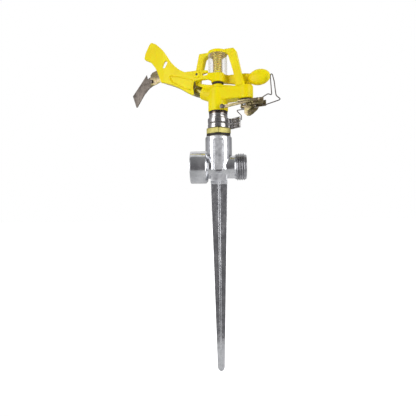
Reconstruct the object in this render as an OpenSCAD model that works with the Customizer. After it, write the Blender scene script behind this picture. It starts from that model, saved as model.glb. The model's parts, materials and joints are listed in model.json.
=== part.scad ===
// Part-circle impact sprinkler head on a plated tee with a ground spike.
// Millimetres. The origin is on the spike's axis at the ground line, which is
// the tee's underside. +Z is up, and +X points to the male hose port.

/* [Spike and tee] */
// Length of the spike below the ground line
spike_l = 191.5; // [150:0.5:230]
// Width of the spike's ribs at the top
spike_w = 16.8; // [13:0.1:17]
// Thickness of the spike's ribs
rib_t = 2.2; // [2:0.1:4]
// Height of the two hose ports' axis
port_z = 14.4; // [14:0.1:15]
// Outer diameter of the upright barrel
barrel_d = 26.7; // [26:0.1:29]
// Height of the barrel's top rim
barrel_top = 45.3; // [44:0.1:50]
// Reach of the female hose port from the axis
inlet_x = 28.5; // [28:0.1:34]
// Reach of the male hose port from the axis
outlet_x = 27.7; // [27:0.1:34]
// Radius of the female thread's crests
inlet_crest_r = 12.65; // [12.6:0.01:12.75]
// Radius of the male thread's crests
outlet_crest_r = 13.45; // [13.35:0.01:13.5]

/* [Bearing] */
// Width across the flats of the nipple's hexagon
hex_af = 24; // [23:0.1:25]
// Height of the nipple's hexagon
hex_h = 5.3; // [4:0.1:7]
// Radius of the bearing journal that the collars clip round
journal_r = 9.3; // [9.2:0.05:9.5]
// Height of each trip collar
collar_h = 5.2; // [4:0.1:6]
// Reach of a collar's ear from the axis
ear_reach = 24; // [22:0.1:24]
// Outer radius of the rotor tube that the head turns on
rotor_r = 6; // [5.8:0.05:6.1]

/* [Head] */
// Direction of the head on the tee, in degrees about the upright axis
head_yaw = -20.5; // [-180:0.5:180]
// Direction of both collars' ears on the tee
ear_yaw = 2.5; // [-180:0.5:180]
// Slope of the nozzle barrel above level
jet_slope = 23; // [20:0.5:26]
// Height of the bridge's top above the head's underside
bridge_h = 61; // [60:0.5:63]
// Radius of the arm's hub
hub_r = 6.8; // [6.2:0.1:7.2]
// Radius of the arm's pivot pin
pivot_r = 1.6; // [1.4:0.05:1.8]

/* [Hidden] */
$fn = 64;

// Radial clearance of every running fit, and the gap that keeps two moving pieces apart
fit = 0.05;
gap = 0.3;

// Hose thread: pitch, width of a crest's land, crests on each port, depth of the grooves
pitch = 2.2;
land = 0.6;
crests = 5;
groove = 1.15;
waterway_r = 8.5;

// The stack on the tee's axis, from the barrel's rim to the head's underside
gasket_t = 1.9;
hex_z = barrel_top + gasket_t;
journal_z = hex_z + hex_h;
lower_collar_z = journal_z + gap;
upper_collar_z = lower_collar_z + collar_h + gap;
journal_top = upper_collar_z + collar_h + 0.2;
sleeve_h = 5.8;
sleeve_r = 9.35;
washer_z = journal_top + sleeve_h;
friction_t = 0.8;
head_z = washer_z + friction_t + 0.1;
stub_l = 14.3;
stub_r = 10.4;
stub_z = hex_z - stub_l;
bore_r = rotor_r + fit;

// Head: heights are above its underside
jet_z = 14.7;
jet_r = 7;
jet_l = 17.9;
boss_top = 27.5;
leg_t = 7;
lug_x = 29.2;
lug_r = 7.2;
lug_z = 9.1;
lug_top = 22;
hub_z = 29.4;
hub_h = 8.9;
cap_r = 10;
cap_z = bridge_h - 3.8;
guard_z = hub_z + hub_h + gap;
// The arm's and the deflector's side outlines are cut on a plane turned this far from the head's
outline_yaw = 23;
stop_x = -19;
stop_z = 37.7;
flap_x = -84;
flap_z = 46.4;
lever_z = 2.1;
finger_x = 45;
finger_z = 5.4;
stay_x = 8.2;
stay_z = 2.1;

module at_head() {
  translate([0, 0, head_z]) rotate([0, 0, head_yaw]) children();
}

// A ring or tube standing on z
module ring(r_out, r_in, z, h) {
  translate([0, 0, z]) difference() {
    cylinder(r = r_out, h = h);
    translate([0, 0, -1]) cylinder(r = r_in, h = h + 2);
  }
}

// A round bar along +X or +Y, from its start
module bar_x(r, l) {
  rotate([0, 90, 0]) cylinder(r = r, h = l);
}
module bar_y(r, l) {
  rotate([-90, 0, 0]) cylinder(r = r, h = l);
}

// A plate with a side outline given as [x, z] points, from y0 to y1
module side_plate(points, y0, y1) {
  translate([0, y1, 0]) rotate([90, 0, 0]) linear_extrude(height = y1 - y0) polygon(points);
}

// The same, cut on the turned outline plane; x is measured along the head
module outline(points) {
  rotate([0, 0, outline_yaw])
    side_plate([for (p = points) [p[0] * cos(outline_yaw), p[1]]], -60, 60);
}

// One closed mesh swept along a coil or a bent wire; up is square to most of the path
module sweep(points, r, up = [0, 0, 1], sides = 6) {
  n = len(points);
  turn = 360 / sides;
  dirs = [for (i = [0:n - 1]) points[min(i + 1, n - 1)] - points[max(i - 1, 0)]];
  rings = [for (i = [0:n - 1])
    let (t = dirs[i] / norm(dirs[i]), u0 = cross(t, up), u = u0 / norm(u0), v = cross(t, u))
      for (k = [0:sides - 1]) points[i] + r * (cos(turn * k) * u + sin(turn * k) * v)];
  sides_f = [for (i = [0:n - 2], k = [0:sides - 1])
    [i * sides + k, i * sides + (k + 1) % sides, (i + 1) * sides + (k + 1) % sides, (i + 1) * sides + k]];
  start_f = [[for (k = [0:sides - 1]) sides - 1 - k]];
  end_f = [[for (k = [0:sides - 1]) (n - 1) * sides + k]];
  polyhedron(points = rings, faces = concat(sides_f, start_f, end_f), convexity = 10);
}

// Male thread as round crests on a core, along +X from x
module male_thread(x, core_r, crest_r) {
  flank = (crest_r - core_r) * tan(30);
  for (i = [0:crests - 1])
    translate([x + pitch * i, 0, 0]) rotate([0, 90, 0]) rotate_extrude()
      polygon([[core_r - 1, -flank - 0.3], [core_r, -flank], [crest_r, 0], [crest_r, land],
               [core_r, land + flank], [core_r - 1, land + flank + 0.3]]);
}

// Cutter for a female thread, from the mouth at x inwards along +X
module female_thread(x, crest_r) {
  root_r = crest_r + groove;
  flank = groove * tan(30);
  lead = 0.8;
  teeth = [for (i = [0:crests - 1]) each [
    [crest_r, lead + pitch * i + flank], [crest_r, lead + pitch * i + flank + land],
    [root_r, lead + pitch * i + 2 * flank + land], [root_r, lead + pitch * (i + 1)]]];
  last = lead + pitch * crests;
  translate([x, 0, 0]) rotate([0, 90, 0]) rotate_extrude()
    polygon(concat([[0, -1], [root_r, -1], [root_r, lead]], teeth, [[root_r, last + 2.6], [0, last + 2.6]]));
}

// Crossed ribs that taper to a point; cast in one with the tee
module spike() {
  tip_w = 7.2;
  tip_h = 5;
  rib = [[-spike_w / 2, 0], [spike_w / 2, 0], [tip_w / 2, tip_h - spike_l], [0.8 * tip_w / 2, 2 - spike_l],
         [0.4 * tip_w / 2, -spike_l], [-0.4 * tip_w / 2, -spike_l], [-0.8 * tip_w / 2, 2 - spike_l],
         [-tip_w / 2, tip_h - spike_l]];
  color("silver") {
    side_plate(rib, -rib_t / 2, rib_t / 2);
    rotate([0, 0, 90]) side_plate(rib, -rib_t / 2, rib_t / 2);
  }
}

module tee() {
  collar_r = 16.2;
  collar_l = 17.5;
  pipe_r = 11.4;
  thread_core = 12.3;
  thread_l = 11;
  skirt_z = 10.8;
  block_w = 16.6;
  color("silver") difference() {
    union() {
      // upright barrel with a chamfered rim
      translate([0, 0, skirt_z]) cylinder(d = barrel_d, h = barrel_top - skirt_z - 1.3);
      translate([0, 0, barrel_top - 1.3]) cylinder(d1 = barrel_d, d2 = barrel_d - 2.5, h = 1.3);
      // square foot over the spike
      translate([-block_w / 2, -block_w / 2, 0]) cube([block_w, block_w, skirt_z + 1]);
      // cross pipe, female collar with a chamfered shoulder, and male end
      translate([-inlet_x + 3, 0, port_z]) bar_x(pipe_r, inlet_x + outlet_x - thread_l - 2);
      translate([-inlet_x, 0, port_z]) bar_x(collar_r, collar_l - 1.8);
      translate([-inlet_x + collar_l - 1.8, 0, port_z]) rotate([0, 90, 0])
        cylinder(r1 = collar_r, r2 = collar_r - 2.4, h = 1.8);
      translate([outlet_x - thread_l, 0, port_z]) bar_x(thread_core, thread_l);
      translate([0, 0, port_z]) male_thread(outlet_x - thread_l + 0.5, thread_core, outlet_crest_r);
      // plain raised pad on the front of the barrel
      difference() {
        translate([-4.9, -barrel_d / 2 - 0.6, 13]) cube([9.8, 6, 27.5]);
        translate([-3.9, -barrel_d / 2 - 1, 14]) cube([7.8, 0.7, 25.5]);
      }
      translate([0, -barrel_d / 2 - 0.6, 13]) bar_y(4.9, 6);
    }
    translate([-inlet_x, 0, port_z]) bar_x(waterway_r, inlet_x + outlet_x + 1);
    translate([0, 0, port_z]) female_thread(-inlet_x, inlet_crest_r);
    translate([0, 0, port_z]) cylinder(r = waterway_r + 0.6, h = barrel_top);
    translate([0, 0, stub_z - 0.5]) cylinder(r = stub_r, h = barrel_top);
  }
}

module hose_washer() {
  washer_t = 2.6;
  seat_x = -inlet_x + 0.8 + pitch * crests + 2.6;
  color("dimgray") translate([seat_x, 0, port_z]) rotate([0, -90, 0])
    ring(inlet_crest_r + groove, waterway_r + 0.4, 0, washer_t);
}

module nipple_gasket() {
  color("black") ring(12.1, stub_r, barrel_top, gasket_t);
}

module bearing_nipple() {
  well_r = 7.9;
  well_z = journal_z + 5;
  color("goldenrod") difference() {
    union() {
      translate([0, 0, stub_z]) cylinder(r = stub_r, h = stub_l + 1);
      translate([0, 0, hex_z]) intersection() {
        rotate([0, 0, 30 + ear_yaw]) cylinder(d = hex_af / cos(30), h = hex_h, $fn = 6);
        translate([0, 0, -7]) cylinder(r1 = 20.4, r2 = 12.6, h = hex_h + 8);
      }
      translate([0, 0, journal_z - 1]) cylinder(r = journal_r, h = journal_top - journal_z + 1);
    }
    translate([0, 0, stub_z - 1]) cylinder(r = bore_r, h = 60);
    translate([0, 0, well_z]) cylinder(r = well_r, h = 20);
  }
}

module seal_washer() {
  color("black") ring(8.8, bore_r, stub_z - 1.3, 1.3);
}

module thrust_washer() {
  color("white") ring(8.8, bore_r, stub_z - 2.2, 0.9);
}

module bearing_spring() {
  wire_r = 0.55;
  coil_r = 6.95;
  turns = 3.5;
  steps = 70;
  z0 = journal_z + 5 + wire_r;
  z1 = washer_z - 1 - wire_r;
  color("gray") sweep([for (i = [0:steps]) let (a = 360 * turns * i / steps)
    [coil_r * cos(a), coil_r * sin(a), z0 + (z1 - z0) * i / steps]], wire_r);
}

module bearing_sleeve() {
  groove_z = journal_top + 2.6;
  color("lightgray") difference() {
    ring(sleeve_r, bore_r, journal_top, sleeve_h);
    translate([0, 0, journal_top - 1]) cylinder(r = 8.4, h = sleeve_h);
    translate([0, 0, groove_z]) rotate_extrude() translate([sleeve_r + 0.1, 0]) circle(r = 0.55);
  }
}

module friction_washer() {
  color("black") ring(9.5, bore_r, washer_z, friction_t);
}

// A band round the journal whose ear stands out, bends and ends at ear_reach
module trip_collar(z) {
  band_r = 10.55;
  ear_t = 1.3;
  bend = [13.6, 0];
  tip = ear_reach * [cos(23.5), -sin(23.5)] + [-0.5, 0.6];
  run = tip - bend;
  color("gainsboro") rotate([0, 0, ear_yaw]) translate([0, 0, z]) {
    difference() {
      union() {
        cylinder(r = band_r, h = collar_h);
        translate([band_r - 1, -ear_t / 2, 0]) cube([bend[0] - band_r + 1, ear_t, collar_h]);
        translate([bend[0], bend[1], 0]) cylinder(r = ear_t / 2, h = collar_h);
        translate([bend[0], bend[1], 0]) rotate([0, 0, atan2(run[1], run[0])])
          translate([0, -ear_t / 2, 0]) cube([norm(run), ear_t, collar_h]);
      }
      translate([0, 0, -1]) cylinder(r = journal_r + fit, h = collar_h + 2);
    }
  }
}

module lower_trip_collar() {
  trip_collar(lower_collar_z);
}

module upper_trip_collar() {
  trip_collar(upper_collar_z);
}

module rotor_tube() {
  flange_t = 2.2;
  flange_z = stub_z - 2.3 - flange_t;
  socket = 9.6;
  color("goldenrod") difference() {
    union() {
      translate([0, 0, flange_z]) cylinder(r = 8.6, h = flange_t);
      translate([0, 0, flange_z]) cylinder(r = rotor_r, h = head_z + socket - flange_z);
    }
    translate([0, 0, flange_z - 1]) cylinder(r = 4.3, h = 80);
  }
}

// The nozzle barrel's own frame: z runs along the jet
module at_jet() {
  translate([0, 0, jet_z]) rotate([0, jet_slope - 90, 0]) children();
}

module sprinkler_body() {
  socket = 9.6;
  core_h = 23.5;
  left_leg = [[-8, bridge_h - 0.6], [-19, bridge_h - 0.2], [-23, 44], [-24, 33], [-22.5, 28.4], [-14, 24],
              [-12, 24], [-12, 28.8], [-18, 30.4], [-19.3, 32.5], [-18.4, 37], [-16.4, 44],
              [-13.4, bridge_h - 5.6], [-10.2, bridge_h - 4], [-8, bridge_h - 3.4]];
  right_leg = [[8, bridge_h], [17.8, bridge_h - 0.3], [19.9, bridge_h - 2.8], [24.6, 37], [29, 22], [29, 14],
               [20, 14], [19.4, 26], [17.4, 37], [12, bridge_h - 5.8], [10.2, bridge_h - 4],
               [8, bridge_h - 3.4]];
  saddle = [[-14, 28.4], [-5, 27], [12, 24.6], [24, 21.4], [24, 12], [-5, 12], [-13, 20]];
  color("gold") at_head() difference() {
    union() {
      cylinder(r = cap_r, h = 11.2);
      translate([0, 0, 11]) cylinder(r1 = cap_r, r2 = 9, h = core_h - 11);
      translate([0, 0, core_h - 1]) cylinder(r = 5.3, h = boss_top - core_h + 1);
      at_jet() cylinder(r = jet_r, h = jet_l);
      // pad for the trip bracket's stay
      translate([stay_x, -9.6, stay_z]) bar_y(2, 6);
      side_plate(saddle, -5, 5);
      // tail lug
      translate([lug_x, 0, lug_z]) cylinder(r = lug_r, h = lug_top - lug_z);
      hull() {
        translate([3, 0, lug_z + 1]) cylinder(r = 8.6, h = 12.2);
        translate([lug_x - 0.3, 0, lug_z + 0.3]) cylinder(r = lug_r - 0.4, h = lug_top - lug_z - 1.2);
      }
      // bridge with its round cap
      side_plate(left_leg, -leg_t / 2, leg_t / 2);
      side_plate(right_leg, -leg_t / 2, leg_t / 2);
      translate([0, 0, cap_z]) cylinder(r = cap_r, h = bridge_h - cap_z - 0.8);
    }
    translate([0, 0, -1]) cylinder(r = rotor_r, h = socket + 1);
    cylinder(r = 4.4, h = jet_z + 3);
    at_jet() cylinder(r = 4.2, h = jet_l + 1);
    at_jet() translate([0, 0, jet_l - 9]) cylinder(r = 5.2, h = 22);
    translate([0, 0, 20]) cylinder(r = pivot_r, h = 50);
    translate([0, 0, cap_z - 1]) cylinder(r = 8.5, h = 3);
    translate([lug_x, 0, lug_z - 1]) cylinder(r = 1.6, h = 11);
    translate([stay_x, -10, stay_z]) bar_y(1, 5);
  }
}

module nozzle() {
  seat = jet_l - 9;
  color("goldenrod") at_head() at_jet() difference() {
    union() {
      translate([0, 0, seat]) cylinder(r = 5.2, h = 15.5);
      translate([0, 0, seat + 15.5]) cylinder(r = 4.6, h = 1.2);
      translate([0, 0, seat + 16.7]) cylinder(r1 = 4.6, r2 = 3.6, h = 1.6);
    }
    translate([0, 0, seat - 1]) cylinder(r = 3.4, h = 9);
    translate([0, 0, seat + 7.9]) cylinder(r1 = 3.4, r2 = 2, h = 3);
    translate([0, 0, seat + 8]) cylinder(r = 2, h = 16);
  }
}

module pivot_pin() {
  color("silver") at_head() translate([0, 0, 21]) cylinder(r = pivot_r, h = bridge_h - 21.8);
}

module lower_pivot_washer() {
  color("black") at_head() ring(5.8, pivot_r + fit, boss_top, hub_z - boss_top - 0.2);
}

module spring_guard() {
  color("white", 0.35) at_head() ring(9.6, 8.8, guard_z, cap_z - guard_z);
}

// The coil is close round the pin and opens out under the cap
module arm_spring() {
  wire_r = 0.45;
  turns = 10;
  steps = 200;
  z0 = hub_z + hub_h + 1.2 + wire_r;
  z1 = bridge_h - 3 - wire_r;
  flare_from = 0.72;
  color("gray") at_head() sweep([for (i = [0:steps])
    let (t = i / steps, a = 360 * turns * t, f = max(0, t - flare_from) / (1 - flare_from))
      [(4.55 + 2.7 * f) * cos(a), (4.55 + 2.7 * f) * sin(a), z0 + (z1 - z0) * t]], wire_r);
}

// The bridge's post inside the arm spring
module spring_post() {
  color("gold") at_head() ring(3.8, pivot_r, guard_z + 1.2, bridge_h - 3 - guard_z);
}

module deflector_bracket() {
  side = [[-81.2, 53.7], [-78.4, 56.4], [-73, 57.8], [-66, 56], [-58, 50.5], [-48, 42.5], [-31, 39],
          [-20.8, 38], [-20, 28], [-17, 25], [-3, 20.4], [-3, 14.6], [-17, 18.6], [-24, 21.8], [-33.3, 26.5], [-43.1, 32.9],
          [-50.5, 36.6], [-60.6, 40.8], [-68.3, 44.4], [-73.2, 42.6], [-81, 40.6]];
  strip = [[-90, 10.9], [-29, 10.9], [-19, 8.4], [-7, 8.4], [-7, 7.3], [-19.3, 7.3], [-29.3, 9.7], [-90, 9.7]];
  color("rosybrown") at_head() difference() {
    intersection() {
      outline(side);
      linear_extrude(height = 70) polygon(strip);
    }
    translate([flap_x, 9, flap_z]) bar_y(1.2, 3);
    for (x = [-13.5, -8.5]) translate([x, 5, jet_z - x * tan(jet_slope)]) bar_y(1, 6);
  }
}

module bracket_screws() {
  color("silver") at_head() for (x = [-13.5, -8.5]) translate([x, 5.2, jet_z - x * tan(jet_slope)]) {
    translate([0, 3.2, 0]) bar_y(1.9, 1.2);
    translate([0, 2.1, 0]) bar_y(1, 1.4);
  }
}

module flap_rivet() {
  color("silver") at_head() translate([flap_x, 0, flap_z]) {
    translate([0, 8.7, 0]) bar_y(2.1, 1);
    translate([0, 9.7, 0]) bar_y(1.2, 3.1);
    translate([0, 12.7, 0]) bar_y(2.1, 0.9);
  }
}

module deflector_flap() {
  side = [[-86.3, 55.7], [-85, 50.6], [-82, 52.3], [-76, 49.5], [-76, 43], [-82.8, 39.6], [-89.4, 33.6],
          [-99.4, 20.1], [-100.8, 20.1], [-105.6, 33.8], [-95.8, 44.6]];
  color("dimgray") at_head() difference() {
    intersection() {
      outline(side);
      translate([-120, 11.2, 0]) cube([60, 1.2, 70]);
    }
    translate([flap_x, 10, flap_z]) bar_y(1.2 + fit, 4);
  }
}

// One step of the counterweight's rounded paddle
module paddle(half_l, half_h, t) {
  centre = [41.4, 5.4, 30.7];
  sides = 36;
  side_plate([for (i = [0:sides - 1]) let (a = 360 * (i + 0.5) / sides)
    [centre[0] + half_l * cos(a), centre[2] + half_h * sin(a)]], centre[1] - t / 2, centre[1] + t / 2);
}

module impact_arm() {
  side = [[-2, 38], [-10.6, 38], [-10.7, 40.4], [-24, 42.1], [-37, 42.6], [-42.7, 46], [-47.5, 50.1],
          [-52.1, 55], [-56.9, 62.4], [-61.9, 69.6], [-66.6, 74.8], [-71.8, 80], [-76.6, 83.6], [-78.8, 83.8],
          [-81.2, 81.8], [-86, 75.6], [-87.6, 70.8], [-86, 69], [-78.4, 63.8], [-73.2, 56.6],
          [-69.8, 50], [-66, 40], [-64.2, 36.4], [-61, 35.6], [-52, 32.2], [-42.8, 27.4], [-32.2, 20.4],
          [-28, 17.8], [-26.4, 19.4], [-27.6, 26], [-26.4, 31.6], [-16, 32.4], [-9.6, 31.2], [-2, 29.8]];
  recess = [[-54.4, 40.8], [-51.4, 41.4], [-27, 33], [-29, 22.6], [-38.5, 26.6], [-51.6, 34.6]];
  plan = [[0, -6.6], [-9, -9.4], [-57, -9.4], [-68, -6.4], [-79, -1], [-92, 4.4], [-92, 7.4], [-77, 1.8],
          [-67, -3.2], [-57, -6.2], [-21, -6], [-19.4, -4.4], [-12.5, -4.4], [-8, -6.4], [-3, 0]];
  tail_side = [[2, 29.8], [10, 29], [27, 25.2], [35, 25.6], [35, 35], [27, 36.6], [10, 37.4], [2, 37.8]];
  tail_plan = [[3, -2], [3, 6.4], [10, 8.6], [36, 8.6], [36, 4.2], [10, 4.2], [6, 0]];
  color("gold") at_head() difference() {
    union() {
      translate([0, 0, hub_z]) cylinder(r = hub_r, h = hub_h);
      intersection() {
        outline(side);
        linear_extrude(height = 100) polygon(plan);
      }
      intersection() {
        side_plate(tail_side, -20, 20);
        linear_extrude(height = 60) polygon(tail_plan);
      }
      paddle(10.8, 7.6, 3);
      paddle(9.2, 6.6, 6);
      paddle(6.4, 4.4, 8.6);
      translate([stop_x, -10.6, stop_z]) bar_y(3.6, 6.2);
    }
    translate([0, 0, hub_z - 1]) cylinder(r = 3.2, h = hub_h + 2);
    translate([stop_x, -12, stop_z]) bar_y(1.3, 10);
    // recess in the limb's front, slot between the two rails, and the window in the spoon
    intersection() {
      outline(recess);
      translate([-70, -12, 0]) cube([60, 3.9, 70]);
    }
    rotate([0, 0, outline_yaw]) translate([-15.6, -20, 35.8]) cube([5.2, 30, 2.5]);
    rotate([0, 0, outline_yaw]) hull() {
      translate([-53.9, -20, 56]) bar_y(1.8, 40);
      translate([-55.9, -20, 52.2]) bar_y(1.7, 40);
    }
  }
}

module arm_bush() {
  color("white") at_head() ring(3.2, pivot_r + fit, hub_z, hub_h);
}

module upper_pivot_washer() {
  color("white") at_head() ring(5, pivot_r + fit, hub_z + hub_h, 0.9);
}

module arm_stop_screw() {
  color("dimgray") at_head() translate([stop_x, -9.8, stop_z]) bar_y(1.3, 6);
}

module lug_washer() {
  color("black") at_head() translate([lug_x, 0, 0]) ring(5.6, 1.6, lug_z - 1.4, 1.4);
}

module lug_screw() {
  color("silver") at_head() translate([lug_x, 0, 0]) {
    translate([0, 0, lug_z - 4.2]) cylinder(r = 2.9, h = 1.6);
    translate([0, 0, lug_z - 2.7]) cylinder(r = 1.6, h = 11);
  }
}

// Folded plate under the lug, with cheeks for the finger's pin, tabs for the lever's pin
// and a long stay to the foot of the head
module trip_bracket() {
  top_z = lug_z - 2.6;
  top_t = 1.2;
  tab_r = 1.9;
  tab_t = 1.2;
  stay = [[stay_x - 2.2, 0.3], [stay_x + 2, 0.2], [36, 2.9], [44, 4.1], [44, 6.3], [30, 4.4],
          [stay_x + 2, 3.5], [stay_x - 2.2, 3.7]];
  color("darkkhaki") at_head() difference() {
    union() {
      translate([22, -5.6, top_z]) cube([18, 11.2, top_t]);
      for (y = [-5.6, 4.6]) translate([30.5, y, top_z - 4.8]) cube([17.5, 1, 5.8]);
      for (x = [24.4, 37.6]) {
        translate([x, 0, lever_z]) bar_x(tab_r, tab_t);
        translate([x, -tab_r, lever_z]) cube([tab_t, 2 * tab_r, top_z - lever_z + 0.2]);
      }
      side_plate(stay, -10.6, -9.6);
      translate([38, -10.2, 3.9]) cube([3, 5.4, 1]);
    }
    for (x = [24, 37]) translate([x, 0, lever_z]) bar_x(1, 3);
    translate([finger_x, -8, finger_z]) bar_y(1, 16);
    translate([lug_x, 0, 0]) cylinder(r = 1.6, h = 12);
    translate([stay_x, -12, stay_z]) bar_y(1, 4);
  }
}

module stay_screw() {
  color("dimgray") at_head() translate([stay_x, -12, stay_z]) {
    bar_y(2.1, 1.4);
    bar_y(1, 7);
  }
}

module lever_pin() {
  color("silver") at_head() translate([23.6, 0, lever_z]) bar_x(1, 16);
}

module finger_pin() {
  color("silver") at_head() translate([finger_x, -6.6, finger_z]) {
    bar_y(1, 13);
    bar_y(2, 1);
  }
}

module toggle_spring() {
  wire_r = 0.35;
  steps = 60;
  color("darkkhaki") at_head() translate([35.6, -8, 2.4]) rotate([-90, 0, 0])
    sweep([for (i = [0:steps]) let (a = 900 * i / steps) [1.9 * cos(a), 1.9 * sin(a), 2 * i / steps]], wire_r);
}

// Rocks sideways on its pin when an ear pushes the trip wire
module trip_lever() {
  plate = [[28, 0.4], [37, 0.4], [37.4, -0.5], [42.4, -0.5], [41, -2.8], [36.4, -6.4], [33.6, -7.8],
           [30.6, -7.6], [28, -4.8]];
  color("darkkhaki") at_head() difference() {
    union() {
      translate([26, 0, lever_z]) bar_x(2, 11.2);
      side_plate(plate, -1.9, -0.7);
      translate([28, -1.9, -2]) cube([9, 1.2, 4]);
    }
    translate([25, 0, lever_z]) bar_x(1 + fit, 14);
  }
}

module trip_wire() {
  route = [[30, 0, -0.6], [20.8, 0, -0.6], [20.1, 0, -0.8], [20.1, 0, -1.6], [23.8, 0, -5.6], [24.4, 0, -6.4],
           [24.5, 0, -7.2], [24.5, 0, -10.6]];
  color("dimgray") at_head() sweep(route, 0.45, [0, 1, 0], 8);
}

module lever_rivet() {
  color("khaki") at_head() translate([32, -2.8, -4.9]) bar_y(1.7, 0.9);
}

module finger_bush() {
  color("khaki") at_head() translate([finger_x, 0, finger_z]) difference() {
    translate([0, -4.3, 0]) bar_y(1.9, 8.6);
    translate([0, -5, 0]) bar_y(1 + fit, 10);
  }
}

// Bent wire whose tall loop stands in the counterweight's way
module reversing_finger() {
  route = [[45, 0, 7.4], [45.6, 0, 8.9], [50.4, 0, 11.2], [51.4, 0, 11.4], [54.1, 0, 10.2], [54.7, 0, 10.6],
           [54.7, 0, 11.6], [53.6, 0, 28], [53.9, 0, 29.4], [54.7, 0, 30], [55.6, 0, 29.3], [57.3, 0, 22.5],
           [58.7, 0, 10.2], [59.3, 0, 8.4], [62.4, 0, 5.6], [62.7, 0, 4.8], [62, 0, 4.2], [47, 0, 1],
           [45.6, 0, 1.3], [45, 0, 3.4]];
  color("dimgray") at_head() sweep(route, 0.5, [0, 1, 0], 8);
}

spike();
tee();
hose_washer();
nipple_gasket();
bearing_nipple();
seal_washer();
thrust_washer();
bearing_spring();
bearing_sleeve();
friction_washer();
lower_trip_collar();
upper_trip_collar();
rotor_tube();
sprinkler_body();
nozzle();
pivot_pin();
lower_pivot_washer();
spring_guard();
arm_spring();
spring_post();
deflector_bracket();
bracket_screws();
flap_rivet();
deflector_flap();
impact_arm();
arm_bush();
upper_pivot_washer();
arm_stop_screw();
lug_washer();
lug_screw();
trip_bracket();
stay_screw();
lever_pin();
finger_pin();
toggle_spring();
trip_lever();
trip_wire();
lever_rivet();
finger_bush();
reversing_finger();
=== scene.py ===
"""Looks of a part-circle impact sprinkler on a plated tee with a ground spike.

Every size is in millimetres inside this file and becomes metres through MM.
Heights on the head are above its underside, in the head's own turned frame.
"""

import json
import math

import bmesh
import bpy
from mathutils import Matrix, Vector, noise


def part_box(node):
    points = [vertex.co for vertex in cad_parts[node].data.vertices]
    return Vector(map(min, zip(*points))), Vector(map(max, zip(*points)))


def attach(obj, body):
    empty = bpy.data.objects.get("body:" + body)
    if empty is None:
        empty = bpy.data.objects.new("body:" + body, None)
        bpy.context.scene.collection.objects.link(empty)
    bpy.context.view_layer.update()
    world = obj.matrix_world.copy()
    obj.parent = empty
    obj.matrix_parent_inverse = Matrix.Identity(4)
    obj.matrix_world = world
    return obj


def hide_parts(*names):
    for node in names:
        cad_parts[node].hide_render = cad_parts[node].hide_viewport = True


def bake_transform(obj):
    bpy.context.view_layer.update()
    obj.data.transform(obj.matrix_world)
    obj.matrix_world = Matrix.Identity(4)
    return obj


MM = 0.001

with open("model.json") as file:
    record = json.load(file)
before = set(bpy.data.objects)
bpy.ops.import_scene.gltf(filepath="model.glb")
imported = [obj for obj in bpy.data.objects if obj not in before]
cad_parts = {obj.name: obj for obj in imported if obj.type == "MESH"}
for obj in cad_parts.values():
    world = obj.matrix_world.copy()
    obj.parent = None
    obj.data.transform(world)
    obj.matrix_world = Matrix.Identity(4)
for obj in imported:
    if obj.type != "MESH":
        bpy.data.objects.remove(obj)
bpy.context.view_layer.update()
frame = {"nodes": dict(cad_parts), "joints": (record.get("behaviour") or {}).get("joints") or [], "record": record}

JOINTS = {j["name"]: j for j in frame["joints"]}
SLOT_OF = {p["node"]: p["material_slot"] for p in frame["record"]["subparts"]}
BODY_OF = {n: b for b, ns in frame["record"]["behaviour"]["bodies"].items() for n in ns}

# The head's frame: its underside stands just above the friction washer
HEAD_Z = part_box("friction_washer")[1].z / MM + 0.1
FLAP_AXIS = JOINTS["flap_tilt"]["axis"]
HEAD_TURN = Matrix.Rotation(math.atan2(-FLAP_AXIS[0], FLAP_AXIS[1]), 4, "Z")
HEAD = Matrix.Translation((0, 0, HEAD_Z * MM)) @ HEAD_TURN


# ---------------------------------------------------------------- shader helpers

def surface(name, **constants):
    """A material, its tree, its Principled shader with the constants set, and object coordinates."""
    material = bpy.data.materials.new(name)
    material.use_nodes = True
    tree = material.node_tree
    shader = tree.nodes["Principled BSDF"]
    for key, value in constants.items():
        shader.inputs[key.replace("_", " ")].default_value = value
    coords = tree.nodes.new("ShaderNodeTexCoord").outputs["Object"]
    return material, tree, shader, coords


def grain(tree, coords, scale, detail=4.0, stretch=(1, 1, 1), distortion=0.0):
    """Noise from 0 to 1; scale is in cycles per metre."""
    mapping = tree.nodes.new("ShaderNodeMapping")
    mapping.inputs["Scale"].default_value = stretch
    tree.links.new(coords, mapping.inputs["Vector"])
    texture = tree.nodes.new("ShaderNodeTexNoise")
    texture.inputs["Scale"].default_value = scale
    texture.inputs["Detail"].default_value = detail
    texture.inputs["Distortion"].default_value = distortion
    tree.links.new(mapping.outputs["Vector"], texture.inputs["Vector"])
    return texture.outputs["Fac"]


def spread(tree, value, low, high, start=0.3, end=0.7):
    """value remapped from start..end to low..high."""
    node = tree.nodes.new("ShaderNodeMapRange")
    tree.links.new(value, node.inputs["Value"])
    for key, number in (("From Min", start), ("From Max", end), ("To Min", low), ("To Max", high)):
        node.inputs[key].default_value = number
    return node.outputs["Result"]


def tint(tree, value, stops):
    """Colour ramp over value; stops are (position, (r, g, b))."""
    node = tree.nodes.new("ShaderNodeValToRGB")
    ramp = node.color_ramp
    while len(ramp.elements) < len(stops):
        ramp.elements.new(0.5)
    for element, (position, colour) in zip(ramp.elements, stops):
        element.position = position
        element.color = (*colour, 1)
    tree.links.new(value, node.inputs["Fac"])
    return node.outputs["Color"]


def blended(tree, factor, first, second, mode="MIX"):
    """Mix of two colour sockets by a factor socket or number."""
    node = tree.nodes.new("ShaderNodeMix")
    node.data_type = "RGBA"
    node.blend_type = mode
    if isinstance(factor, float):
        node.inputs["Factor"].default_value = factor
    else:
        tree.links.new(factor, node.inputs["Factor"])
    tree.links.new(first, node.inputs[6])
    tree.links.new(second, node.inputs[7])
    return node.outputs[2]


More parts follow.
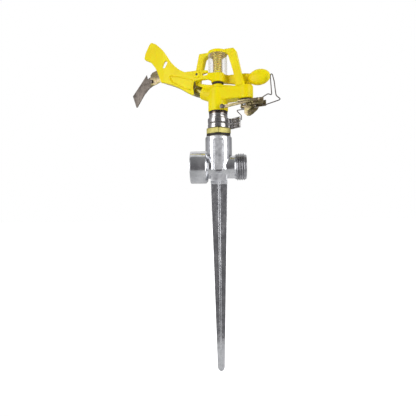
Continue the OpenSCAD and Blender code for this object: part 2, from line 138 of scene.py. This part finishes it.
def relief(tree, shader, layers):
    """Bump layers, each (height socket, strength, distance in metres), chained to the normal."""
    normal = None
    for height, strength, distance in layers:
        node = tree.nodes.new("ShaderNodeBump")
        node.inputs["Strength"].default_value = strength
        node.inputs["Distance"].default_value = distance
        tree.links.new(height, node.inputs["Height"])
        if normal is not None:
            tree.links.new(normal, node.inputs["Normal"])
        normal = node.outputs["Normal"]
    tree.links.new(normal, shader.inputs["Normal"])


def edges(tree):
    """Pointiness: above 0.5 on convex edges, below it in hollows."""
    return tree.nodes.new("ShaderNodeNewGeometry").outputs["Pointiness"]


def slab(tree, coords, low, high, edge=0.0006):
    """1 inside the box from low to high, in metres, falling to 0 at its faces over edge."""
    parts = tree.nodes.new("ShaderNodeSeparateXYZ")
    tree.links.new(coords, parts.inputs["Vector"])
    inside = None
    for axis, a, b in zip("XYZ", low, high):
        for start, end in ((a, a + edge), (b, b - edge)):
            side = spread(tree, parts.outputs[axis], 0, 1, start, end)
            inside = side if inside is None else combined(tree, inside, side, "MULTIPLY")
    return inside


def combined(tree, first, second, operation):
    """Two values put together by the Math node's operation."""
    node = tree.nodes.new("ShaderNodeMath")
    node.operation = operation
    tree.links.new(first, node.inputs[0])
    tree.links.new(second, node.inputs[1])
    return node.outputs[0]


def finished(tree, shader, colour, roughness, layers):
    """Links the colour and the roughness into the shader and adds the relief."""
    if colour is not None:
        tree.links.new(colour, shader.inputs["Base Color"])
    tree.links.new(roughness, shader.inputs["Roughness"])
    relief(tree, shader, layers)


# ---------------------------------------------------------------- materials

def dull_areas(tree, coords):
    """How unpolished the casting is: fully at the foot and the pad, partly at the spike's root."""
    foot = slab(tree, coords, (-0.0095, -0.0095, -0.003), (0.0095, 0.0095, 0.0102))
    pad = slab(tree, coords, (-0.0047, -0.02, 0.0104), (0.0047, -0.0115, 0.056))
    root = slab(tree, coords, (-0.01, -0.01, -0.06), (0.01, 0.01, -0.002), edge=0.01)
    partly = spread(tree, root, 0, 0.4, 0, 1)
    return combined(tree, combined(tree, foot, pad, "MAXIMUM"), partly, "MAXIMUM")


def plated_zinc():
    """Bright plating over a die casting: slightly wavy, with clouded patches, pits and rubbed edges."""
    material, tree, shader, coords = surface("plated_zinc", Metallic=1.0)
    clouds = grain(tree, coords, 110, 5)
    base = tint(tree, clouds, [(0.32, (0.60, 0.61, 0.63)), (0.52, (0.76, 0.77, 0.79)),
                               (0.7, (0.88, 0.885, 0.9))])
    worn = tint(tree, edges(tree), [(0.46, (0.72, 0.72, 0.74)), (0.5, (0.92, 0.92, 0.93)),
                                    (0.56, (1, 1, 1))])
    base = blended(tree, 0.6, base, worn, "MULTIPLY")
    # the male port is stained by handling
    male_port = slab(tree, coords, (0.0165, -0.02, -0.002), (0.03, 0.02, 0.032))
    stained = tint(tree, clouds, [(0.35, (0.30, 0.30, 0.31)), (0.65, (0.55, 0.55, 0.57))])
    polished = spread(tree, grain(tree, coords, 260, 6), 0.09, 0.27)
    as_cast = spread(tree, grain(tree, coords, 420, 5), 0.42, 0.6)
    finished(tree, shader, blended(tree, male_port, base, stained),
             blended(tree, dull_areas(tree, coords), polished, as_cast),
             [(grain(tree, coords, 85, 2), 0.35, 0.0006), (grain(tree, coords, 1400, 3), 0.18, 0.00006)])
    return material


def brass():
    """Turned brass with fine tool rings about the upright axis and dull tarnish."""
    material, tree, shader, coords = surface("brass", Metallic=1.0)
    tarnish = grain(tree, coords, 160, 5)
    colour = tint(tree, tarnish, [(0.3, (0.17, 0.15, 0.042)), (0.7, (0.27, 0.24, 0.085))])
    rings = grain(tree, coords, 1, 2, (60, 60, 4200))
    finished(tree, shader, colour, spread(tree, rings, 0.2, 0.42),
             [(rings, 0.25, 0.00004), (tarnish, 0.1, 0.0001)])
    return material


def stainless():
    """Cold rolled strip with faint lines along the roll and soft stains, darkened in a band just under the head
    that is partly greasing and partly painted shadow.
    """
    material, tree, shader, coords = surface("stainless", Metallic=1.0)
    stain = grain(tree, coords, 140, 4)
    clean = tint(tree, stain, [(0.3, (0.34, 0.325, 0.32)), (0.7, (0.58, 0.565, 0.56))])
    # partly painted shadow: the dark colour of the band just under the head, mixed with real greasing
    grease_and_shade_colour = tint(tree, stain, [(0.3, (0.05, 0.035, 0.025)), (0.7, (0.14, 0.105, 0.08))])
    top = HEAD_Z * MM
    # the band just under the head that gets the painted shadow and the greasing
    shadowed_grease_band = slab(tree, coords, (-0.012, -0.012, top - 0.0038), (0.012, 0.012, top + 0.002), edge=0.0012)
    lines = grain(tree, coords, 1, 3, (90, 90, 5200))
    finished(tree, shader, blended(tree, shadowed_grease_band, clean, grease_and_shade_colour), spread(tree, lines, 0.13, 0.32),
             [(lines, 0.2, 0.00003), (stain, 0.15, 0.0002)])
    return material


def spring_steel():
    """Spring wire with die lines and an uneven sheen, tinted yellow partly for its passivation and partly as a
    painted reflection of the yellow moulding.
    """
    material, tree, shader, coords = surface("spring_steel", Metallic=1.0)
    patches = grain(tree, coords, 420, 4)
    # yellow colour: partly passivation, partly a painted reflection of the yellow moulding around the springs
    colour = tint(tree, patches, [(0.3, (0.60, 0.48, 0.16)), (0.7, (0.86, 0.72, 0.26))])
    finished(tree, shader, colour, spread(tree, grain(tree, coords, 900, 3), 0.22, 0.45),
             [(grain(tree, coords, 3200, 2), 0.2, 0.00003)])
    return material


def dark_steel():
    """Oxidised sheet: brown-grey with lighter rubbed edges and a rough scale."""
    material, tree, shader, coords = surface("dark_steel", Metallic=0.85)
    scale = grain(tree, coords, 240, 6, distortion=0.6)
    base = tint(tree, scale, [(0.3, (0.075, 0.062, 0.052)), (0.5, (0.15, 0.128, 0.112)),
                              (0.7, (0.25, 0.215, 0.19))])
    worn = tint(tree, edges(tree), [(0.5, (0.55, 0.55, 0.55)), (0.56, (1, 1, 1))])
    finished(tree, shader, blended(tree, 0.5, base, worn, "MULTIPLY"), spread(tree, scale, 0.34, 0.58),
             [(scale, 0.25, 0.0001), (grain(tree, coords, 2600, 3), 0.2, 0.00004)])
    return material


def passivated_steel():
    """Zinc with yellow passivation: olive to pinkish drifts over pressed steel."""
    material, tree, shader, coords = surface("passivated_steel", Metallic=0.9)
    drift = grain(tree, coords, 150, 3, distortion=1.2)
    colour = tint(tree, drift, [(0.3, (0.14, 0.12, 0.055)), (0.45, (0.29, 0.245, 0.115)),
                                (0.58, (0.29, 0.225, 0.155)), (0.72, (0.39, 0.35, 0.18))])
    finished(tree, shader, colour, spread(tree, grain(tree, coords, 700, 4), 0.24, 0.46),
             [(grain(tree, coords, 1800, 3), 0.2, 0.00005)])
    return material


def yellow_plastic():
    """Moulded plastic: satin skin with fine texture, and painted shade that darkens it towards orange-brown in the
    hollows.
    """
    material, tree, shader, coords = surface("yellow_plastic", Subsurface_Weight=0.12,
                                             Subsurface_Scale=0.0015, Specular_IOR_Level=0.2)
    flow = grain(tree, coords, 45, 3, distortion=0.8)
    base = tint(tree, flow, [(0.3, (0.86, 0.69, 0.001)), (0.7, (0.94, 0.81, 0.004))])
    # painted shade: where the pointiness marks a hollow, the colour is darkened towards orange-brown
    painted_hollow_shade = tint(tree, edges(tree), [(0.44, (0.74, 0.62, 0.3)), (0.495, (1, 1, 1)), (0.56, (1, 1, 1))])
    finished(tree, shader, blended(tree, 0.8, base, painted_hollow_shade, "MULTIPLY"),
             spread(tree, grain(tree, coords, 320, 5), 0.3, 0.46),
             [(flow, 0.2, 0.0006), (grain(tree, coords, 2400, 3), 0.25, 0.00004)])
    return material


def clear_plastic():
    """Clear sleeve: faint face on, greyer where the wall is seen edge on, with drawn streaks."""
    material, tree, shader, coords = surface("clear_plastic", Base_Color=(0.80, 0.79, 0.85, 1))
    streaks = grain(tree, coords, 1, 3, (900, 900, 60))
    facing = tree.nodes.new("ShaderNodeLayerWeight")
    facing.inputs["Blend"].default_value = 0.35
    tree.links.new(spread(tree, facing.outputs["Facing"], 0.05, 0.5, 0.2, 1), shader.inputs["Alpha"])
    finished(tree, shader, None, spread(tree, streaks, 0.04, 0.2), [(streaks, 0.08, 0.00005)])
    return material


def white_plastic():
    """Moulded bearing plastic, slightly waxy and stained."""
    material, tree, shader, coords = surface("white_plastic")
    stain = grain(tree, coords, 220, 4)
    colour = tint(tree, stain, [(0.3, (0.70, 0.68, 0.62)), (0.7, (0.84, 0.83, 0.79))])
    finished(tree, shader, colour, spread(tree, stain, 0.35, 0.55),
             [(grain(tree, coords, 2200, 3), 0.2, 0.00004)])
    return material


def black_rubber():
    """Moulded rubber, brownish black with a dusty bloom."""
    material, tree, shader, coords = surface("black_rubber")
    bloom = grain(tree, coords, 500, 5)
    colour = tint(tree, bloom, [(0.3, (0.012, 0.008, 0.008)), (0.7, (0.035, 0.025, 0.024))])
    finished(tree, shader, colour, spread(tree, bloom, 0.5, 0.75),
             [(grain(tree, coords, 2800, 3), 0.35, 0.00006)])
    return material


MATERIALS = {build.__name__: build() for build in (
    plated_zinc, brass, stainless, spring_steel, dark_steel, passivated_steel,
    yellow_plastic, clear_plastic, white_plastic, black_rubber)}


# ---------------------------------------------------------------- mesh helpers

def new_object(name, mesh):
    """An object with the given data, linked to the scene."""
    obj = bpy.data.objects.new(name, mesh)
    bpy.context.scene.collection.objects.link(obj)
    return obj


def from_points(name, points, faces):
    """An object from points in millimetres."""
    mesh = bpy.data.meshes.new(name)
    mesh.from_pydata([Vector(p) * MM for p in points], [], faces)
    mesh.update()
    work = bmesh.new()
    work.from_mesh(mesh)
    bmesh.ops.recalc_face_normals(work, faces=work.faces)
    work.to_mesh(mesh)
    work.free()
    return new_object(name, mesh)


def copy_of(node, name):
    """The CAD node's mesh, welded, in a new object."""
    mesh = frame["nodes"][node].data.copy()
    mesh.materials.clear()
    work = bmesh.new()
    work.from_mesh(mesh)
    bmesh.ops.remove_doubles(work, verts=work.verts, dist=0.004 * MM)
    work.to_mesh(mesh)
    work.free()
    return new_object(name, mesh)


def settled(obj):
    """obj with its modifiers made part of its mesh."""
    graph = bpy.context.evaluated_depsgraph_get()
    mesh = bpy.data.meshes.new_from_object(obj.evaluated_get(graph))
    obj.modifiers.clear()
    obj.data = mesh
    return obj


def shaded(obj, angle=35):
    """obj shaded smooth, with sharp edges above the angle in degrees."""
    obj.data.shade_smooth()
    obj.data.set_sharp_from_angle(angle=math.radians(angle))
    return obj


def moulded(obj, voxel, rounds):
    """obj as one skin whose edges and corners are rounded, as a casting or moulding has them."""
    skin = obj.modifiers.new("skin", "REMESH")
    skin.mode = "VOXEL"
    skin.voxel_size = voxel * MM
    soften = obj.modifiers.new("soften", "SMOOTH")
    soften.factor = 0.5
    soften.iterations = rounds
    settled(obj).data.shade_smooth()
    return obj


def bevelled(obj, width, angle=32):
    """obj with small rounded edges."""
    work = bmesh.new()
    work.from_mesh(obj.data)
    bmesh.ops.dissolve_limit(work, angle_limit=math.radians(1.5), verts=work.verts, edges=work.edges)
    work.to_mesh(obj.data)
    work.free()
    bevel = obj.modifiers.new("edges", "BEVEL")
    bevel.width = width * MM
    bevel.segments = 2
    bevel.limit_method = "ANGLE"
    bevel.angle_limit = math.radians(angle)
    bevel.harden_normals = False
    return shaded(settled(obj))


def ring_faces(rings, sides, first=0):
    """The quads between each ring of points and the next; first is the first ring's first point."""
    faces = []
    for ring in range(rings - 1):
        start = first + ring * sides
        for k in range(sides):
            j = (k + 1) % sides
            faces.append((start + k, start + j, start + sides + j, start + sides + k))
    return faces


def joined(name, objects):
    """One object with the meshes of several."""
    work = bmesh.new()
    for obj in objects:
        work.from_mesh(obj.data)
        bpy.data.objects.remove(obj)
    mesh = bpy.data.meshes.new(name)
    work.to_mesh(mesh)
    work.free()
    return new_object(name, mesh)


def rounded_path(corners, bend, steps=5):
    """The corners' path with each inner corner turned into a curve of about the given bend."""
    corners = [Vector(c) for c in corners]
    path = [corners[0]]
    for before, corner, after in zip(corners, corners[1:], corners[2:]):
        back = min(bend, (before - corner).length * 0.45)
        ahead = min(bend, (after - corner).length * 0.45)
        start = corner + (before - corner).normalized() * back
        end = corner + (after - corner).normalized() * ahead
        for i in range(steps + 1):
            t = i / steps
            path.append(start * (1 - t) ** 2 + corner * 2 * t * (1 - t) + end * t ** 2)
    return path + [corners[-1]]


def tube(name, path, radius, sides=16):
    """A round wire along path, its ends slightly domed."""
    path = [Vector(p) for p in path]
    first = (path[1] - path[0]).normalized()
    last = (path[-1] - path[-2]).normalized()
    radii = [radius] * len(path)
    path = [path[0] - first * radius * 0.2] + path + [path[-1] + last * radius * 0.2]
    radii = [radius * 0.72] + radii + [radius * 0.72]
    side = first.orthogonal().normalized()
    points, n = [], len(path)
    for i, (centre, r) in enumerate(zip(path, radii)):
        along = (path[min(i + 1, n - 1)] - path[max(i - 1, 0)]).normalized()
        side = (side - along * side.dot(along)).normalized()
        across = along.cross(side)
        for k in range(sides):
            a = 2 * math.pi * k / sides
            points.append(centre + (side * math.cos(a) + across * math.sin(a)) * r)
    faces = ring_faces(n, sides)
    faces.append(tuple(reversed(range(sides))))
    faces.append(tuple((n - 1) * sides + k for k in range(sides)))
    return shaded(from_points(name, points, faces), 50)


def on_head(obj):
    """obj moved from the head's own frame to the row frame."""
    obj.data.transform(HEAD)
    return obj


def stand_in(obj, *nodes, body=None, slot=None):
    """obj takes the place of the CAD nodes, with the first one's body and slot unless others are given."""
    slot = slot or SLOT_OF[nodes[0]]
    obj.data.materials.clear()
    obj.data.materials.append(MATERIALS[slot])
    if body != "blend":
        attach(obj, body or BODY_OF[nodes[0]])
    if nodes:
        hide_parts(*nodes)
    return obj


def extra(obj, body, slot):
    """obj adds detail to a body and hides no CAD node."""
    return stand_in(obj, body=body, slot=slot)


def points_moved(obj, change):
    """Moves each vertex; change maps a point in millimetres to a new one."""
    for vertex in obj.data.vertices:
        vertex.co = Vector(change(vertex.co / MM)) * MM
    obj.data.update()
    return obj


# ---------------------------------------------------------------- tee and spike

PORT_Z = 14.4
PITCH = 2.2
THREAD_LAND = 0.6
MALE_CORE_R, MALE_CREST_R = 12.25, 13.45
FEMALE_ROOT_R, FEMALE_CREST_R = 13.85, 12.65
INLET_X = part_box("tee")[0].x / MM
OUTLET_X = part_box("tee")[1].x / MM


def cross_section(half_w, root_t, edge_t, corner, fillet):
    """Outline of two crossed ribs with draft: rounded outer corners and filleted inner ones."""
    corner = min(corner, edge_t * 0.9, half_w * 0.3)
    fillet = min(fillet, max(0.02, (half_w - root_t) * 0.5))
    arc = [math.pi / 2 * i / 5 for i in range(6)]
    far, near = half_w - corner, edge_t - corner
    quarter = [(far + corner * math.cos(a), near + corner * math.sin(a)) for a in arc]
    centre = root_t + fillet
    quarter += [(centre - fillet * math.sin(a), centre - fillet * math.cos(a)) for a in arc]
    quarter += [(near + corner * math.cos(a), far + corner * math.sin(a)) for a in arc]
    outline = []
    for turn in range(4):
        c, s = math.cos(math.pi / 2 * turn), math.sin(math.pi / 2 * turn)
        outline += [(x * c - y * s, x * s + y * c) for x, y in quarter]
    return outline


def spike_piece():
    """Tapered crossed ribs with draft, a flared root under the foot and a blunt point."""
    low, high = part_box("spike")
    top_w, tip_w, tip_h = high.x / MM, 3.6, 5
    straight = -low.z / MM - tip_h
    depths = [-0.8] + [2.5 * i for i in range(int(straight / 2.5) + 1)]
    depths += [straight + tip_h * math.sin(math.pi / 2 * i / 7) for i in range(8)]
    points = []
    for depth in depths:
        to_tip = min(1.0, max(0.0, depth) / straight)
        half_w = top_w + (tip_w - top_w) * to_tip
        if depth > straight:
            half_w = max(0.5, tip_w * (1 - ((depth - straight) / tip_h) ** 2.4) ** 0.5)
        root = max(0.0, 1 - max(0.0, depth) / 5) ** 2
        root_t = min(0.9 - 0.1 * to_tip + 0.6 * root, half_w * 0.7)
        edge_t = min(0.7 - 0.05 * to_tip + 0.3 * root, half_w * 0.62)
        wave = 0.05 * noise.noise(Vector((0.3, 7.7, depth * 0.08)))
        ring = cross_section(half_w, root_t, edge_t, corner=0.22, fillet=0.2)
        points += [(x + wave, y - wave, -depth) for x, y in ring]
    n = len(ring)
    faces = ring_faces(len(depths), n)
    faces.append(tuple(range(n)))
    faces.append(tuple(reversed(range((len(depths) - 1) * n, len(depths) * n))))
    return stand_in(shaded(from_points("spike_cast", points, faces), 60), "spike")


def thread(name, x, turns, core_r, crest_r):
    """A helical ridge about the ports' axis that runs in and out over its first and last half turns."""
    steps = int(turns * 72)
    flank = abs(crest_r - core_r) * math.tan(math.radians(30))
    inner = core_r - 0.25 * math.copysign(1, crest_r - core_r)
    half = THREAD_LAND / 2
    points = []
    for i in range(steps + 1):
        t = i / steps * turns
        rise = min(1.0, t / 0.5, (turns - t) / 0.5)
        top = core_r + (crest_r - core_r) * max(0.04, rise)
        a = 2 * math.pi * t
        shoulder = top - 0.06 * (top - core_r)
        shape = [(-flank - half, inner), (-flank - half, core_r), (-half, shoulder), (-half / 2, top),
                 (half / 2, top), (half, shoulder), (flank + half, core_r), (flank + half, inner)]
        points += [(x + PITCH * t + dx, r * math.cos(a), PORT_Z + r * math.sin(a)) for dx, r in shape]
    n = len(shape)
    faces = ring_faces(steps + 1, n)
    faces.append(tuple(range(n)))
    faces.append(tuple(steps * n + k for k in range(n)))
    return extra(shaded(from_points(name, points, faces), 50), "base", "plated_zinc")


def plain_ports(p):
    """Takes the CAD's thread rings off both ports, so that helical threads can go there."""
    r = math.hypot(p.y, p.z - PORT_Z)
    core, root = 12.3, 13.8
    # the male port's outside, then the female port's inside
    if p.x > OUTLET_X - 11.2 and r > core - 0.3:
        new = min(r, core)
    elif p.x < INLET_X + 14 and 12.2 < r < 14.6:
        new = root
    else:
        return p
    return p.x, p.y * new / r, PORT_Z + (p.z - PORT_Z) * new / r


def tee_pieces():
    """The tee as a casting, with a helical thread at each port."""
    voxel = 0.38
    body = points_moved(moulded(copy_of("tee", "tee_cast"), voxel, 1), plain_ports)
    stand_in(moulded(body, voxel, 7), "tee")
    thread("tee_male_thread", OUTLET_X - 10.4, 4.2, MALE_CORE_R, MALE_CREST_R)
    thread("tee_female_thread", INLET_X + 1.2, 4.7, FEMALE_ROOT_R, FEMALE_CREST_R)


# ---------------------------------------------------------------- bearing stack

def ear_line():
    """Where the ears bend, and the way they run from there."""
    bend_r, bend_turn, tip_y = 13.6, math.radians(2.5), -8.0
    bend = Vector((bend_r * math.cos(bend_turn), bend_r * math.sin(bend_turn), 0))
    tip = Vector((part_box("lower_trip_collar")[1].x / MM, tip_y, 0))
    run = tip - bend
    run_turn = math.atan2(run.y, run.x)
    return bend, Vector((math.cos(run_turn), math.sin(run_turn), 0))


EAR_BEND, EAR_RUN = ear_line()
EAR_SIDE = Vector((-EAR_RUN.y, EAR_RUN.x, 0))


def collar_shape(mid_z, half_h):
    """Crowns a collar's band, rolls its rims and presses two long grooves into its ear."""
    def change(p):
        r = math.hypot(p.x, p.y)
        from_middle = abs(p.z - mid_z) / half_h
        # the band's outside
        if 10 < r < 11.2:
            new = r + 0.12 - 0.4 * from_middle ** 4
            return p.x * new / r, p.y * new / r, p.z
        # the ear past its bend
        if r > 14.2:
            groove = 0.16 * math.cos((p.z - mid_z) * math.pi / (half_h * 0.5))
            middle = EAR_BEND + EAR_RUN * (p - EAR_BEND).dot(EAR_RUN)
            return p + EAR_SIDE * groove * math.copysign(1, (p - middle).dot(EAR_SIDE))
        return p
    return change


def collar_piece(node):
    """A trip collar pressed from strip."""
    low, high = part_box(node)
    half_h = (high.z - low.z) / 2 / MM
    mid_z = (high.z + low.z) / 2 / MM
    band = moulded(copy_of(node, node + "_band"), 0.3, 3)
    stand_in(points_moved(band, collar_shape(mid_z, half_h)), node)


def coil(radius_at, z0, z1, turns):
    """Points up a coil; radius_at maps the share of the height to a radius."""
    per_turn = 40
    count = int(turns * per_turn)
    points = []
    for i in range(count + 1):
        t = i / count
        a = 2 * math.pi * turns * t
        points.append((radius_at(t) * math.cos(a), radius_at(t) * math.sin(a), z0 + (z1 - z0) * t))
    return points


def bearing_spring_piece():
    """The open coil that pushes the head up."""
    low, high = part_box("bearing_spring")
    wire, coil_r, turns = 0.55, 6.95, 3.5
    path = coil(lambda t: coil_r, low.z / MM + wire, high.z / MM - wire, turns)
    stand_in(tube("bearing_spring_wire", path, wire, 12), "bearing_spring")


# ---------------------------------------------------------------- head

def blended_band(obj, low, high, rounds):
    """Smooths obj further between two heights on the head, so that its masses run together."""
    group = obj.vertex_groups.new(name="flow")
    edge = 2.5
    for vertex in obj.data.vertices:
        z = vertex.co.z / MM - HEAD_Z
        weight = min(1.0, (z - low) / edge, (high - z) / edge)
        if weight > 0:
            group.add([vertex.index], weight, "REPLACE")
    soften = obj.modifiers.new("flow", "SMOOTH")
    soften.factor = 0.5
    soften.iterations = rounds
    soften.vertex_group = group.name
    settled(obj).data.shade_smooth()
    return obj


def head_body_piece():
    """The moulded head with its bridge, nozzle barrel and tail lug."""
    body = moulded(copy_of("sprinkler_body", "head_moulding"), 0.4, 6)
    stand_in(blended_band(body, low=6, high=28, rounds=45), "sprinkler_body")


def paddle_solid():
    """The counterweight's rounded leaf, with its half length, half height and half thickness."""
    centre, half_l, half_h, half_t = Vector((41.4, 5.4, 30.7)), 11, 7.7, 4.9
    rings, sides, fullness = 20, 40, 2.6
    points = [(centre.x, centre.y - half_t, centre.z)]
    for i in range(1, rings):
        depth = math.cos(math.pi * i / rings)
        size = (1 - abs(depth) ** fullness) ** 0.5
        for k in range(sides):
            turn = 2 * math.pi * k / sides
            points.append((centre.x + half_l * size * math.cos(turn), centre.y - half_t * depth,
                           centre.z + half_h * size * math.sin(turn)))
    points.append((centre.x, centre.y + half_t, centre.z))
    last = len(points) - 1
    faces = ring_faces(rings - 1, sides, first=1)
    for k in range(sides):
        j = (k + 1) % sides
        faces.append((0, 1 + k, 1 + j))
        faces.append((last, last - sides + j, last - sides + k))
    return on_head(from_points("paddle", points, faces))


def arm_piece():
    """The swinging arm, one moulding from the spoon to the counterweight."""
    arm = joined("arm_moulding", [copy_of("impact_arm", "arm_cad"), paddle_solid()])
    stand_in(moulded(arm, 0.4, 6), "impact_arm")


def arm_spring_piece():
    """The arm's torsion spring: close turns on the pin that open out under the cap."""
    low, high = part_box("arm_spring")
    wire, turns, flare_from = 0.38, 10, 0.72
    z0, z1 = low.z / MM + wire, high.z / MM - wire

    def radius_at(t):
        return 4.55 + 2.7 * max(0.0, t - flare_from) / (1 - flare_from)

    path = coil(radius_at, z0, z1, turns)
    start, end = Vector(path[0]), Vector(path[-1])
    path = [start + Vector((0.1, -1.6, -0.1))] + path + [end + Vector((0.1, 1.0, 0.1))]
    spring = tube("arm_spring_wire", path, wire, 14)
    spring.data.transform(HEAD_TURN)
    stand_in(spring, "arm_spring", body="blend")
    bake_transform(spring)


def wire_pieces():
    """The trip's wires: the trip wire, the reversing finger and the toggle spring."""
    bend = 1.2
    trip = [(30, -0.6), (20.8, -0.6), (20.1, -0.8), (20.1, -1.6), (23.8, -5.6), (24.4, -6.4), (24.5, -7.2),
            (24.5, -10.6)]
    finger = [(45, 7.4), (45.6, 8.9), (50.4, 11.2), (51.4, 11.4), (54.1, 10.2), (54.7, 10.6), (54.7, 11.6),
              (53.6, 28), (53.9, 29.4), (54.7, 30), (55.6, 29.3), (57.3, 22.5), (58.7, 10.2), (59.3, 8.4),
              (62.4, 5.6), (62.7, 4.8), (62, 4.2), (47, 1), (45.6, 1.3), (45, 3.4)]
    for node, name, corners, wire in (("trip_wire", "trip_wire_bent", trip, 0.45),
                                      ("reversing_finger", "finger_wire_bent", finger, 0.5)):
        path = rounded_path([(x, 0, z) for x, z in corners], bend)
        stand_in(on_head(tube(name, path, wire)), node)
    coil_path = [(33.6 + x, -8 + z, 2.6 - y) for x, y, z in coil(lambda t: 1.9, 0, 2, 2.5)]
    stand_in(on_head(tube("toggle_spring_wire", coil_path, 0.35, 12)), "toggle_spring")


def bevelled_pieces():
    """Every other part keeps the CAD's shape and gets small rounded edges."""
    widths = {
        "hose_washer": 0.3, "nipple_gasket": 0.35, "bearing_nipple": 0.3, "seal_washer": 0.2,
        "thrust_washer": 0.15, "bearing_sleeve": 0.25, "friction_washer": 0.2, "rotor_tube": 0.25,
        "nozzle": 0.25, "pivot_pin": 0.3, "lower_pivot_washer": 0.25, "spring_guard": 0.15,
        "spring_post": 0.3, "deflector_bracket": 0.25, "bracket_screws": 0.25, "flap_rivet": 0.3,
        "deflector_flap": 0.25, "arm_bush": 0.1, "upper_pivot_washer": 0.2, "arm_stop_screw": 0.2,
        "lug_washer": 0.25, "lug_screw": 0.3, "trip_bracket": 0.2, "stay_screw": 0.3,
        "lever_pin": 0.2, "finger_pin": 0.25, "trip_lever": 0.2, "lever_rivet": 0.3,
        "finger_bush": 0.25,
    }
    for node, width in widths.items():
        stand_in(bevelled(copy_of(node, node + "_finished"), width), node)


# ---------------------------------------------------------------- stage, lights and camera

def floor():
    """A plain pale floor at the spike's tip. Its front edge is just below the camera's view."""
    far, front, z = 4000, -80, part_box("spike")[0].z / MM - 0.2
    corners = [(-far, front, z), (far, front, z), (far, far, z), (-far, far, z)]
    plane = from_points("floor", corners, [(0, 1, 2, 3)])
    material, tree, shader, _ = surface("pale_floor", Roughness=0.9, Base_Color=(0.8, 0.8, 0.8, 1))
    path = tree.nodes.new("ShaderNodeLightPath")
    tree.links.new(path.outputs["Is Camera Ray"], shader.inputs["Emission Strength"])
    shader.inputs["Emission Color"].default_value = (1, 1, 1, 1)
    plane.data.materials.append(material)


def plain(tree, level):
    """A grey of the given level."""
    node = tree.nodes.new("ShaderNodeRGB")
    node.outputs[0].default_value = (level, level, level, 1)
    return node.outputs[0]


def sky():
    """White where the camera looks. Other rays meet a room, dark in front, with lit sides and table."""
    world = bpy.data.worlds.new("studio")
    bpy.context.scene.world = world
    world.use_nodes = True
    tree = world.node_tree
    background = tree.nodes["Background"]
    direction = tree.nodes.new("ShaderNodeTexCoord").outputs["Generated"]
    flat = tree.nodes.new("ShaderNodeVectorMath")
    flat.operation = "MULTIPLY"
    flat.inputs[1].default_value = (1, 1, 0)
    tree.links.new(direction, flat.inputs[0])
    level = tree.nodes.new("ShaderNodeVectorMath")
    level.operation = "NORMALIZE"
    tree.links.new(flat.outputs[0], level.inputs[0])
    parts = tree.nodes.new("ShaderNodeSeparateXYZ")
    tree.links.new(level.outputs[0], parts.inputs["Vector"])
    height = tree.nodes.new("ShaderNodeSeparateXYZ")
    tree.links.new(direction, height.inputs["Vector"])
    # 0 straight in front of the object, where the camera stands, and 1 straight behind it
    around = spread(tree, parts.outputs["Y"], 0, 1, -1, 1)
    room = tint(tree, around, [(0.0, (0.15, 0.145, 0.15)), (0.05, (0.17, 0.165, 0.17)),
                               (0.12, (0.56, 0.55, 0.57)), (0.5, (0.6, 0.59, 0.61)),
                               (0.66, (0.4, 0.4, 0.41)), (1.0, (0.3, 0.3, 0.305))])
    black, white = (0, 0, 0), (1, 1, 1)
    table = tint(tree, spread(tree, height.outputs["Z"], 0, 1, -0.48, -0.38), [(0.0, white), (1.0, black)])
    ceiling = tint(tree, spread(tree, height.outputs["Z"], 0, 1, 0.1, 0.98), [(0.0, black), (1.0, white)])
    lit = blended(tree, table, room, plain(tree, 0.55))
    lit = blended(tree, ceiling, lit, plain(tree, 0.28))
    path = tree.nodes.new("ShaderNodeLightPath")
    seen = blended(tree, path.outputs["Is Camera Ray"], lit, plain(tree, 1))
    tree.links.new(seen, background.inputs["Color"])


def softbox(name, place, target, width, height, power):
    """An area light at place, in millimetres, that faces target."""
    light = bpy.data.lights.new(name, "AREA")
    light.shape = "RECTANGLE"
    light.size = width * MM
    light.size_y = height * MM
    light.energy = power
    obj = new_object(name, light)
    obj.location = Vector(place) * MM
    obj.rotation_euler = (Vector(target) - Vector(place)).to_track_quat("-Z", "Y").to_euler()


def lights():
    """A tall soft strip at each side and a wide box overhead."""
    softbox("left_strip", (-840, -560, 120), (0, 0, 20), 560, 1000, 6)
    softbox("right_strip", (820, -620, 100), (0, 0, 20), 600, 900, 6)
    softbox("top_box", (-50, 450, 1000), (0, 100, 60), 2200, 1500, 6)


def camera():
    """A level camera with a slight roll."""
    data = bpy.data.cameras.new("camera")
    data.sensor_width = 36
    data.lens = 30.8
    data.clip_start = 0.01
    obj = new_object("camera", data)
    place, turn, roll = Vector((4.2, -360.2, -26.6)), math.radians(2.5), math.radians(-0.7)
    pose = Matrix.Rotation(turn, 4, "Z") @ Matrix.Rotation(math.pi / 2, 4, "X")
    pose = pose @ Matrix.Rotation(roll, 4, "Z")
    obj.matrix_world = Matrix.Translation(place * MM) @ pose
    bpy.context.scene.camera = obj


bpy.context.scene.view_settings.view_transform = "Standard"
camera()
sky()
lights()
floor()
spike_piece()
tee_pieces()
for collar in ("lower_trip_collar", "upper_trip_collar"):
    collar_piece(collar)
bearing_spring_piece()
head_body_piece()
arm_piece()
arm_spring_piece()
wire_pieces()
bevelled_pieces()
